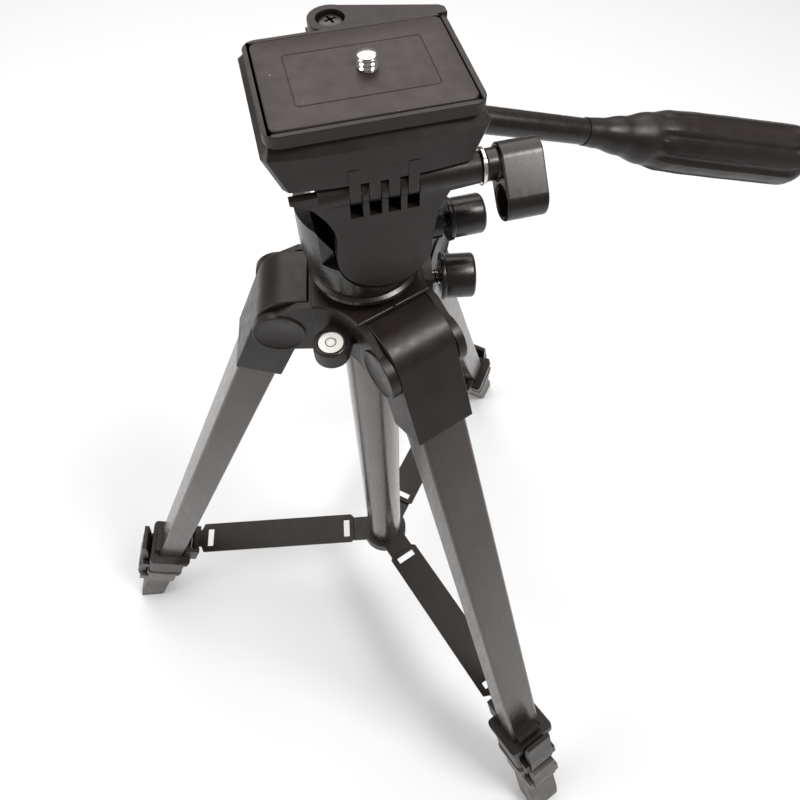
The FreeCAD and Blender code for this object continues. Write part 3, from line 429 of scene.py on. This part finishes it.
def bubble_level():
    """Bezel, white vial with its ring, and the bubble."""
    centre, half = middle_of("level_vial")
    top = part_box("level_housing")[1].z
    reach = half.x / MM
    place = (centre.x, centre.y, top)
    lathe("level_bezel", "shoulder", "gloss_black", place, (0, 0, 1),
          [(-0.5, reach - 0.5), (0.25, reach - 0.5), (0.45, reach - 0.2), (0.45, reach + 0.4),
           (0.2, reach + 0.8), (-0.3, reach + 0.9)])
    lathe("level_glass", "shoulder", "vial_white", place, (0, 0, 1),
          [(-4.5, 0), (-4.5, reach - 0.1), (0.0, reach - 0.1), (0.15, reach - 0.8),
           (0.32, reach * 0.5), (0.38, 0)], replaces=["level_vial"])
    ring = [(0.2, 1.85), (0.42, 1.85), (0.46, 2.0), (0.42, 2.15), (0.2, 2.15)]
    lathe("level_ring", "shoulder", "black_plastic", place, (0, 0, 1), ring, segments=40)
    off_centre = (centre.x + 0.5 * MM, centre.y + 0.3 * MM, top)
    lathe("level_bubble", "shoulder", "vial_white", off_centre, (0, 0, 1),
          [(0.3, 0), (0.3, 1.3), (0.5, 1.15), (0.62, 0.7), (0.66, 0)], segments=32)


def ear_cheeks():
    """The round cheek with a raised rim on each outer face of the shoulder's ears."""
    foot, face, reach = 13.7, 16.75, 10.5    # distances along and from the leg's pin
    profile = [(foot, 0), (foot, reach - 0.3), (14.0, reach), (16.9, reach), (17.25, 10.2),
               (17.25, 9.6), (16.9, 9.2), (face, 9.0), (face, 0)]
    for side in SIDES:
        pin, across = pivot(f"{side}_leg_fold")
        for name, way in (("a", 1), ("b", -1)):
            lathe(f"{side}_cheek_{name}", "shoulder", "black_plastic", pin, across * way, profile)


def corner_webs():
    """The concave walls of the shoulder between neighbouring ears."""
    flank, curve, core, steps = 16.6, 20.0, 14, 12
    foot, top = 372.5, 399.0
    arms = [pivot(f"{side}_leg_fold")[0] for side in SIDES]
    arms = [Vector((pin.x, pin.y, 0)).normalized() for pin in arms]
    for number, (arm, following) in enumerate(zip(arms, arms[1:] + arms[:1])):
        between = (arm + following).normalized()
        centre = between * (flank + curve) / math.sin(math.radians(60))
        reach = centre.dot(arm)
        first = (arm * reach - centre).normalized()
        last = (following * reach - centre).normalized()
        arc = [centre + first.slerp(last, step / steps) * curve for step in range(steps + 1)]
        plan = [arm * core, arm * reach, *arc, following * reach, following * core, between * core]
        count = len(plan)
        vertices = [(point + Vector((0, 0, height))) * MM for height in (foot, top) for point in plan]
        faces = [list(range(count)), list(range(count, 2 * count))]
        faces += [[i, (i + 1) % count, count + (i + 1) % count, count + i] for i in range(count)]
        soften(add_piece(f"corner_web_{number}", vertices, faces, "shoulder", "black_plastic"), 0.9)


# ---------------------------------------------------------------- knobs and handle

def turned_knob(node, body, material, joint):
    """A round lock knob: a thin flange, a body with a soft end and a shallow dished face."""
    origin, axis = pivot(joint)
    centre, half = middle_of(node)
    rim, flange = half.z / MM, 0.7
    long = 2 * (centre - origin).length / MM
    lathe(f"{node}_turned", body, material, origin, axis,
          [(0, 0), (0, rim - 0.3), (0.3, rim), (1.5, rim), (1.8, rim - 0.2), (2.2, rim - flange),
           (long - 1.4, rim - flange), (long - 0.7, rim - flange - 0.25),
           (long - 0.2, rim - flange - 0.8), (long, rim - flange - 1.5),
           (long - 0.25, rim - flange - 2.1), (long - 0.3, 0)], replaces=[node])


def knob_thread(node, body, joint):
    """A knob's visible screw thread."""
    origin, axis = pivot(joint)
    centre, _ = middle_of(node)
    long = 2 * (origin - centre).length / MM
    radius, core, pitch, groove, start = 3.0, 2.2, 1.25, 0.55, 0.3
    lathe(f"{node}_thread", body, "steel", origin - axis * long * MM, axis,
          [(0, 0), (0, core)] + thread_rows(start, long, radius, 0.16) + [(long, 0)], segments=48,
          ripple=thread_ripple(pitch, groove, start, long), replaces=[node])


def fluted_grip():
    """The pan handle's flared grip with its eight long flutes."""
    origin, axis = pivot("handle_twist")
    _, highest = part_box("handle_grip")
    rod, rim = 50.0, 2.2    # bare rod before the grip, and what the tilted end adds to the box
    end = (highest.x - origin.x) / MM / axis.x - rim
    flutes, groove, rows = 8, 1.5, 90
    marks = ((rod, 4.8), (rod + 6, 5.2), (rod + 16, 6.8), (rod + 27, 9.2), (rod + 37, 10.8),
             (rod + 50, 11.3), (rod + 70, 11.6), (end - 4, 11.9), (end - 1.5, 11.4),
             (end - 0.4, 10.2), (end, 9.0))

    def flare(height):
        """The grip's radius, eased from mark to mark."""
        for (low, thin), (high, thick) in zip(marks, marks[1:]):
            if height <= high:
                part = (height - low) / (high - low)
                part = part * part * (3 - 2 * part)
                return thin + (thick - thin) * part
        return marks[-1][1]

    def ripple(height, angle):
        """The flutes, which fade out towards both ends."""
        rise = min(1, max(0, (height - rod - 28) / 9)) * min(1, max(0, (end - 5 - height) / 6))
        wave = max(0, math.cos(flutes * angle)) ** 0.7
        return -groove * wave * rise * (2 - rise)

    heights = [rod + (end - rod) * row / rows for row in range(rows + 1)]
    profile = [(rod, 0)] + [(height, flare(height)) for height in heights] + [(end, 0)]
    lathe("fluted_grip", "handle", "black_plastic", origin, axis, profile, segments=128,
          ripple=ripple, replaces=["handle_grip"])


camera_stud()
rubber_pad()
cross_screw()
lever_grip()
bubble_level()
ear_cheeks()
corner_webs()
turned_knob("column_knob", "column_knob", "gloss_black", "column_knob_turn")
turned_knob("pan_knob", "pan_knob", "gloss_black", "pan_knob_turn")
knob_thread("column_knob_screw", "column_knob", "column_knob_turn")
fluted_grip()


# ---------------------------------------------------------------- floor, light and camera

def add_stage():
    """A plain pale floor that runs out to the horizon."""
    mesh = bpy.data.meshes.new("floor")
    reach = 6.0
    corners = [(-reach, -reach, 0), (reach, -reach, 0), (reach, reach, 0), (-reach, reach, 0)]
    mesh.from_pydata(corners, [], [(0, 1, 2, 3)])
    floor = bpy.data.objects.new("floor", mesh)
    bpy.context.scene.collection.objects.link(floor)
    material = bpy.data.materials.new("floor")
    material.use_nodes = True
    shader = material.node_tree.nodes["Principled BSDF"]
    shader.inputs["Base Color"].default_value = (0.86, 0.91, 0.95, 1)
    shader.inputs["Roughness"].default_value = 0.8
    mesh.materials.append(material)


def add_softbox(name, location, target, size, power):
    """A square area light that looks at a point."""
    light = bpy.data.lights.new(name, "AREA")
    light.shape = "SQUARE"
    light.size = size
    light.energy = power
    light.color = WARM
    lamp = bpy.data.objects.new(name, light)
    lamp.location = location
    lamp.rotation_euler = (Vector(target) - Vector(location)).to_track_quat("-Z", "Y").to_euler()
    bpy.context.scene.collection.objects.link(lamp)


def add_light():
    """A dim warm room, with softboxes behind, overhead at the front right, and at the left."""
    world = bpy.data.worlds.new("studio")
    bpy.context.scene.world = world
    world.use_nodes = True
    background = world.node_tree.nodes["Background"]
    background.inputs["Color"].default_value = (*WARM, 1)
    background.inputs["Strength"].default_value = 0.25
    add_softbox("behind", (0.15, 0.85, 1.85), (0, 0, 0.3), 2.0, 28)
    add_softbox("overhead", (0.62, -0.42, 1.45), (0, 0, 0.4), 0.42, 12)
    add_softbox("left", (-1.5, 0.15, 1.1), (0, 0, 0.25), 1.2, 14)
    bpy.context.scene.view_settings.view_transform = "Standard"


def add_camera():
    """The camera looks down on the plate from the front, a little to the left."""
    place = Vector((-28.15, -168.05, 588.98)) * MM
    yaw, pitch, roll = (math.radians(value) for value in (-13.915, 59.551, 0.708))
    forward = Vector((-math.sin(yaw) * math.cos(pitch), math.cos(yaw) * math.cos(pitch),
                      -math.sin(pitch)))
    right = Vector((math.cos(yaw), math.sin(yaw), 0))
    down = forward.cross(right)
    across = math.cos(roll) * right + math.sin(roll) * down
    up = -(math.cos(roll) * down - math.sin(roll) * right)
    lens = bpy.data.cameras.new("camera")
    lens.sensor_width = 36
    lens.lens = 29.02
    lens.clip_start = 0.01
    camera = bpy.data.objects.new("camera", lens)
    rotation = Matrix((across, up, -forward)).transposed().to_4x4()
    camera.matrix_world = Matrix.Translation(place) @ rotation
    bpy.context.scene.collection.objects.link(camera)
    bpy.context.scene.camera = camera


add_stage()
add_light()
add_camera()
